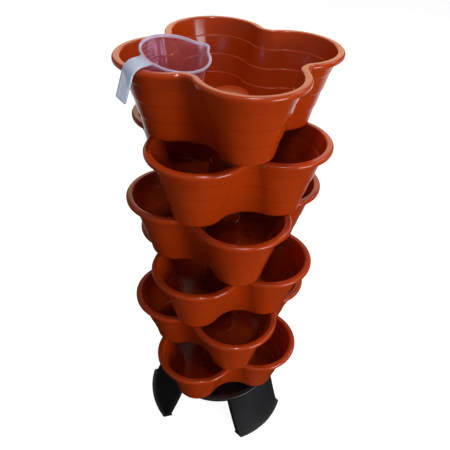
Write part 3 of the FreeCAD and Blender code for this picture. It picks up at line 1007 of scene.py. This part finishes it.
@dataclass
class Jug:
    """The measuring jug: a tapered cup with a rim bead, a pouring spout and a strap that hooks over a rim.

    In its own frame the rim lies in the plane z = 0, with the strap along +X and the spout along -X.
    """

    rim_radius: float = 49.5
    height: float = 65.0
    taper: float = 6.5
    bead_width: float = 2.0
    bead_height: float = 3.0
    bead_foot_round: float = 0.5
    wall: float = 1.6
    floor_round: float = 4.0
    edge_round: float = 0.7
    cup_steps: int = 288
    cut_height: float = 6.0
    overlap: float = 0.02
    spout_length: float = 10.5
    spout_half_width: float = 16.0
    spout_tip_half_width: float = 3.0
    spout_depth: float = 26.0
    spout_blend: float = 1.2
    spout_edge_angle: float = 40.0
    spout_full_angle: float = 30.0
    strap_reach: float = 76.1
    strap_level: float = 0.5
    strap_drop: float = 52.3
    strap_flare: float = 9.2
    strap_width: float = 21.0
    strap_web: float = 2.2
    strap_flange_depth: float = 3.2
    strap_flange_wall: float = 1.6
    strap_bend: float = 17.0
    strap_root: float = 6.0
    strap_end_setback: float = 0.6
    strap_end_scale: float = 0.95
    fan_half_width: float = 15.0
    fan_length: float = 11.0
    fan_steps: int = 12
    hook_lobe: tuple[float, float] = (89.5, 80.5)
    hook_angle: float = 222.5
    handle_angle: float = 207.9
    hook_room: float = 11.3
    rim_width: float = 11.0
    pot_rim_level: float = 805.0
    rim_above_pot: float = 7.5
    lean: float = 13.4
    lean_angle: float = -55.1
    # The fourth colour is the measure strokes' print, painted pale as a glint too.
    finish: ClearPolypropylene = field(default_factory=lambda: ClearPolypropylene(
        "violet_clear_polypropylene", "#EDD6F8", "#F4E6FC", "#DFECFF", "#CF8F89", "#E0CDEC", 3.0, 47.0, 58.0,
        strokes=(Strokes(-60.2, 7.0, 8.2, 53.2, 7.5, 1.3), Strokes(-78.6, 6.0, 10.4, 47.9, 7.5, 1.1))))

    def place(self) -> Matrix:
        """Work out where the jug hangs, turned and leaned over the rim of the top pot.

        Returns:
            Its place in the frame.
        """
        towards, handle, hook = (math.radians(angle) for angle in
                                 (self.lean_angle, self.handle_angle, self.hook_angle))
        lean_axis = Vector((-math.sin(towards), math.cos(towards), 0.0))
        distance, radius = self.hook_lobe
        reach = self.rim_radius + self.hook_room + self.rim_width
        middle = Vector((-distance + radius * math.cos(hook) - reach * math.cos(handle),
                         radius * math.sin(hook) - reach * math.sin(handle),
                         self.pot_rim_level + self.rim_above_pot))
        return (Matrix.Translation(middle * MM) @ Matrix.Rotation(math.radians(self.lean), 4, lean_axis)
                @ turn_about_z(self.handle_angle))

    def cup_corners(self) -> list[Corner]:
        """List the cup's outside as a full body, from the middle of its mouth to the middle of its floor.

        Returns:
            Its corners.
        """
        neck = self.rim_radius - self.bead_width
        neck_below_bead = neck - (self.taper - self.bead_width) * self.bead_height / self.height
        return [Corner(0.0, 0.0), Corner(self.rim_radius, 0.0, self.bead_width / 2),
                Corner(self.rim_radius, -self.bead_height, self.bead_width / 2),
                Corner(neck_below_bead, -self.bead_height, self.bead_foot_round),
                Corner(self.rim_radius - self.taper, -self.height, self.floor_round),
                Corner(0.0, -self.height)]

    def inside_corners(self) -> list[Corner]:
        """List the cup's inside as a full body that reaches out at the mouth, to cut the cup hollow.

        Returns:
            Its corners.
        """
        mouth = self.rim_radius - self.bead_width - self.wall
        lead, floor = mouth + self.edge_round, -self.height + self.wall
        return [Corner(0.0, self.cut_height), Corner(lead, self.cut_height), Corner(lead, -self.overlap),
                Corner(mouth, -self.overlap, self.edge_round),
                Corner(self.rim_radius - self.taper - self.wall, floor, self.floor_round - self.wall),
                Corner(0.0, floor)]

    def strap_corners(self) -> list[Corner]:
        """List the strap's section: a web with a low flange along each edge.

        Returns:
            Its corners.
        """
        half, deep, web = self.strap_width / 2, -self.strap_flange_depth, -self.strap_web
        inner = half - self.strap_flange_wall
        places = ((-half, 0.0), (half, 0.0), (half, deep), (inner, deep), (inner, web), (-inner, web),
                  (-inner, deep), (-half, deep))
        return [Corner(across, level, self.strap_web / 4) for across, level in places]

    def strap_path(self) -> list[Corner]:
        """List the line of the strap's outer face, from inside the cup's wall down to its end.

        Returns:
            Its corners.
        """
        slope = math.atan2(self.strap_flare, self.strap_drop - self.strap_level)
        end = (self.strap_reach + self.strap_flare, -self.strap_drop)
        near_end = (end[0] - self.strap_end_setback * math.sin(slope),
                    end[1] + self.strap_end_setback * math.cos(slope))
        return [Corner(self.rim_radius - self.strap_root, -self.strap_level),
                Corner(self.strap_reach, -self.strap_level, self.strap_bend), Corner(*near_end), Corner(*end)]

    def fan_corners(self) -> list[Corner]:
        """List the level outline of the plate by which the strap fans out into the cup.

        Returns:
            Its corners.
        """
        root, length = self.rim_radius - self.strap_root, self.strap_root + self.fan_length
        half = self.strap_width / 2 - self.strap_flange_wall / 2
        shares = [step / self.fan_steps for step in range(self.fan_steps + 1)]
        side = [Corner(root + length * share, half + (self.fan_half_width - half) * (1 - share) ** 2)
                for share in shares]
        return [Corner(corner.across, -corner.level) for corner in side] + side[::-1]

    def spouted(self, tree: NodeTree, shape: Socket) -> Socket:
        """Draw one side of a round shape out into the spout, most at the rim and less further down.

        Args:
            tree: The jug's tree.
            shape: The round shape.

        Returns:
            The shape with its spout.
        """
        neck = (self.rim_radius - self.bead_width) * MM
        tip = (self.rim_radius + self.spout_length) * MM - self.bead_width * MM
        tip_half, root_y = self.spout_tip_half_width * MM, self.spout_half_width * MM
        root_x = math.sqrt(neck ** 2 - root_y ** 2)
        cross = tip * root_y - tip_half * root_x
        least_ahead, least_depth_blend = 0.3, 0.15
        split = add(tree, "SeparateXYZ", add(tree, "InputPosition"), output=None)
        flat = add(tree, "CombineXYZ", split[0], split[1])
        outward = add(tree, "VectorMath", flat, operation="NORMALIZE")
        share = add(tree, "SeparateXYZ", outward, output=None)
        towards = add(tree, "Math", share[0], -1.0, operation="MULTIPLY")
        within = add(tree, "MapRange", towards, math.cos(math.radians(self.spout_edge_angle)),
                     math.cos(math.radians(self.spout_full_angle)), interpolation_type="SMOOTHSTEP")
        ahead = add(tree, "Math", towards, least_ahead, operation="MAXIMUM")
        aside = add(tree, "Math", share[1], operation="ABSOLUTE")
        to_tip = add(tree, "Math", tip, ahead, operation="DIVIDE")
        slant = add(tree, "Math", ahead, root_y - tip_half, operation="MULTIPLY")
        slant = add(tree, "Math", aside, tip - root_x, slant, operation="MULTIPLY_ADD")
        to_side = add(tree, "Math", cross, slant, operation="DIVIDE")
        beak = add(tree, "Math", to_tip, to_side, self.spout_blend * MM, operation="SMOOTH_MIN")
        lip = add(tree, "Math", beak, neck, 2 * self.spout_blend * MM, operation="SMOOTH_MAX")
        pull = add(tree, "Math", lip, neck, operation="SUBTRACT")
        depth = add(tree, "MapRange", split[2], -self.spout_depth * MM, 0.0)
        depth = add(tree, "Math", depth, 0.0, least_depth_blend, operation="SMOOTH_MAX")
        reach = add(tree, "VectorMath", flat, output="Value", operation="LENGTH")
        on_wall = add(tree, "Math", reach, neck / 2, operation="GREATER_THAN")
        for factor in (depth, within, on_wall):
            pull = add(tree, "Math", pull, factor, operation="MULTIPLY")
        offset = add(tree, "VectorMath", outward, named={"Scale": pull}, operation="SCALE")
        return add(tree, "SetPosition", shape, named={"Offset": offset})

    def tree(self) -> NodeTree:
        """Build the tree of the jug: cup and strap joined, then cut hollow.

        Returns:
            The tree.
        """
        tree, given = new_tree("measuring_jug", {"Object": ["Cup", "Inside", "Strap", "Strap Path", "Fan"],
                                                 "Material": ["Finish"]})
        rail = add(tree, "CurvePrimitiveCircle", self.cup_steps, named={"Radius": self.rim_radius * MM})
        cup, inside = (
            self.spouted(tree, add(tree, "MergeByDistance", swept(tree, rail, given[name]),
                                   named={"Distance": self.overlap * MM}))
            for name in ("Cup", "Inside"))
        path = rounded(tree, given["Strap Path"])
        count = add(tree, "AttributeDomainSize", path, output="Point Count", component="CURVE")
        # Half a step before the last point, so that rounding can't miss it.
        last = add(tree, "Math", count, 1.5, operation="SUBTRACT")
        at_end = add(tree, "Math", add(tree, "InputIndex"), last, operation="GREATER_THAN")
        scale = add(tree, "MapRange", at_end, 0.0, 1.0, 1.0, self.strap_end_scale)
        upright_path = add(tree, "Transform", path, named={"Rotation": (-math.pi / 2, 0.0, 0.0)})
        even = add(tree, "SetCurveRadius", upright_path, named={"Radius": 1.0})
        strap = swept(tree, even, given["Strap"], Scale=scale)
        levels = (self.strap_level + self.strap_web - self.overlap, self.strap_level + self.overlap)
        rise = add(tree, "CurvePrimitiveLine", *((0.0, 0.0, -level * MM) for level in levels))
        fan = swept(tree, rise, given["Fan"])
        body = add(tree, "MeshBoolean", operation="UNION", solver="EXACT",
                   named={"Mesh 2": [cup, strap, fan]})
        hollow = add(tree, "MeshBoolean", operation="DIFFERENCE", solver="EXACT",
                     named={"Mesh 1": body, "Mesh 2": inside})
        marked = add(tree, "StoreNamedAttribute", hollow, data_type="FLOAT_VECTOR",
                     named={"Name": OWN_PLACE, "Value": add(tree, "InputPosition")})
        return finish_tree(tree, [marked], given["Finish"], crease=50.0)

    def build(self) -> list[Object]:
        """Build the jug where it hangs.

        Returns:
            The jug as the only piece.
        """
        shift = -self.rim_radius
        outlines = {"Cup": section("cup_outline", self.cup_corners(), shift, closed=False),
                    "Inside": section("inside_outline", self.inside_corners(), shift, closed=False),
                    "Strap": section("strap_outline", self.strap_corners()),
                    "Strap Path": section("strap_path", self.strap_path(), closed=False),
                    "Fan": section("fan_outline", upright(self.fan_corners()))}
        mesh = grown("measuring_jug", self.tree(), {**outlines, "Finish": self.finish.material()})
        discard(outlines)
        return [placed("hooked_measuring_jug", mesh, self.place(), "jug_body", ["measuring_jug"])]


@dataclass(frozen=True)
class Softbox:
    """One soft lamp, by its direction and distance from the point that it faces."""

    name: str
    azimuth: float
    elevation: float
    distance: float
    width: float
    height: float
    radiance: float
    mirrored: bool = True
    tint: str = "#FFFFFF"

    def hang(self, aim: Vector) -> None:
        """Hang the lamp.

        Args:
            aim: The point that it faces, in millimetres.
        """
        data = bpy.data.lights.new(self.name, "AREA")
        data.shape = "RECTANGLE"
        data.size, data.size_y = self.width * MM, self.height * MM
        data.energy = self.radiance * math.pi * data.size * data.size_y
        data.color = linear(self.tint)[:3]
        lamp = in_scene(self.name, data)
        swing, rise = math.radians(self.azimuth), math.radians(self.elevation)
        towards = Vector((math.cos(swing) * math.cos(rise), math.sin(swing) * math.cos(rise), math.sin(rise)))
        lamp.location = (aim + towards * self.distance) * MM
        lamp.rotation_mode = "QUATERNION"
        lamp.rotation_quaternion = (-towards).to_track_quat("-Z", "Y")
        lamp.visible_glossy = self.mirrored


@dataclass
class Studio:
    """Pale floor, soft lamps and the camera at the photograph's viewing angle."""

    camera_place: tuple[float, float, float] = (-206.6, -672.6, 1042.6)
    camera_forward: tuple[float, float, float] = (0.23217, 0.74838, -0.62131)
    camera_up: tuple[float, float, float] = (0.13763, 0.60707, 0.78264)
    camera_lens: float = 39.19
    floor_radius: float = 9000.0
    floor_steps: int = 96
    floor_shade: float = 0.45
    # Painted shade: the floor's colour in reflections, short of the white part behind the tower.
    painted_floor_shade_in_reflections: float = 0.02
    floor_glow: float = 0.93
    near_floor: float = 250.0
    far_floor: float = 1000.0
    far_glow: float = 0.7
    ambient: float = 0.07
    low_sky: float = 0.05
    high_sky: float = 0.25
    high_sky_rise: float = 0.5
    aim: tuple[float, float, float] = (0.0, 0.0, 480.0)
    lamps: tuple[Softbox, ...] = (
        Softbox("right_key", -56.0, 8.0, 2600.0, 1200.0, 1200.0, 10.0),
        Softbox("left_fill", -150.0, 6.0, 2600.0, 1200.0, 1000.0, 1.4, mirrored=False),
        Softbox("front_high", -92.0, 56.0, 2400.0, 280.0, 280.0, 20.0),
        Softbox("overhead", -70.0, 82.0, 1900.0, 210.0, 210.0, 90.0),
        Softbox("window", 12.0, 46.0, 2600.0, 130.0, 900.0, 20.0),
        Softbox("back_wall", 73.0, 24.0, 3000.0, 3400.0, 1500.0, 1.8, tint="#FFD9AE"),
    )

    def camera(self) -> None:
        """Create the camera and make it the scene's own."""
        data = bpy.data.cameras.new("camera")
        data.lens = self.camera_lens
        camera = in_scene("camera", data)
        back = -Vector(self.camera_forward).normalized()
        right = Vector(self.camera_up).cross(back).normalized()
        turn = Matrix((right, back.cross(right), back)).transposed().to_4x4()
        camera.matrix_world = Matrix.Translation(Vector(self.camera_place) * MM) @ turn
        bpy.context.scene.camera = camera

    def floor(self) -> None:
        """Lay the floor: white to the eye with a shadow on it; in reflections white behind the tower, painted
        shade elsewhere.
        """
        mesh = bpy.data.meshes.new("floor")
        turns = [2 * math.pi * step / self.floor_steps for step in range(self.floor_steps)]
        radius = self.floor_radius * MM
        mesh.from_pydata([(math.cos(turn) * radius, math.sin(turn) * radius, 0.0) for turn in turns], [],
                         [list(range(self.floor_steps))])
        floor = in_scene("floor", mesh)
        made, tree, shader = new_material("pale_floor")
        rays = add(tree, "LightPath", output=None)
        away = Vector(self.camera_forward)
        away.z = 0.0
        reach = add(tree, "VectorMath", add(tree, "TexCoord", output="Object"), away.normalized(),
                    output="Value", operation="DOT_PRODUCT")
        distance = add(tree, "MapRange", reach, self.near_floor * MM, self.far_floor * MM, 0.0, self.far_glow,
                       interpolation_type="SMOOTHSTEP")
        mirrored = add(tree, "Math", rays["Is Glossy Ray"], distance, operation="MULTIPLY")
        seen = add(tree, "Math", rays["Is Camera Ray"], rays["Is Transmission Ray"], operation="MAXIMUM")
        seen = add(tree, "Math", seen, mirrored, operation="MAXIMUM")
        glow = add(tree, "Math", seen, self.floor_glow, operation="MULTIPLY")
        # Painted shade: glossy rays that meet the floor short of its white part see it nearly black.
        painted_shade_zone = add(tree, "Math", rays["Is Glossy Ray"], mirrored, operation="SUBTRACT")
        shade = add(tree, "MapRange", painted_shade_zone, 0.0, 1.0, self.floor_shade, self.painted_floor_shade_in_reflections)
        feed(shader, {"Base Color": shade, "Roughness": 1.0, "Specular IOR Level": 0.0,
                      "Emission Color": WHITE, "Emission Strength": glow})
        mesh.materials.append(made)

    def world(self) -> None:
        """Light the studio's walls: white to the eye, brighter upwards in reflections, dim as light."""
        world = bpy.data.worlds.new("studio")
        bpy.context.scene.world = world
        world.use_nodes = True
        tree = world.node_tree
        rays = add(tree, "LightPath", output=None)
        seen = add(tree, "Math", rays["Is Camera Ray"], rays["Is Transmission Ray"], operation="MAXIMUM")
        rise = add(tree, "SeparateXYZ", add(tree, "TexCoord", output="Generated"), output=2)
        sky = add(tree, "MapRange", rise, 0.0, self.high_sky_rise, self.low_sky, self.high_sky)
        as_light = add(tree, "Mix", rays["Is Glossy Ray"], named={2: self.ambient, 3: sky})
        strength = add(tree, "Mix", seen, named={2: as_light, 3: 1.0})
        feed(tree.nodes["Background"], {"Strength": strength, "Color": WHITE})

    def build(self) -> None:
        """Set up the camera, the floor, the walls' light and the lamps."""
        bpy.context.scene.view_settings.view_transform = "Standard"
        self.camera()
        self.floor()
        self.world()
        for lamp in self.lamps:
            lamp.hang(Vector(self.aim))


def main() -> None:
    """Build the studio and every piece of the tower in order, and report each piece."""
    logging.basicConfig(level=logging.INFO, format="%(message)s")
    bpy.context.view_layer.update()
    Studio().build()
    for assembly in (Stand(), Pots(), Jug()):
        for piece in assembly.build():
            log.info("%s: %d faces", piece.name, len(piece.data.polygons))


if __name__ == "__main__":
    main()
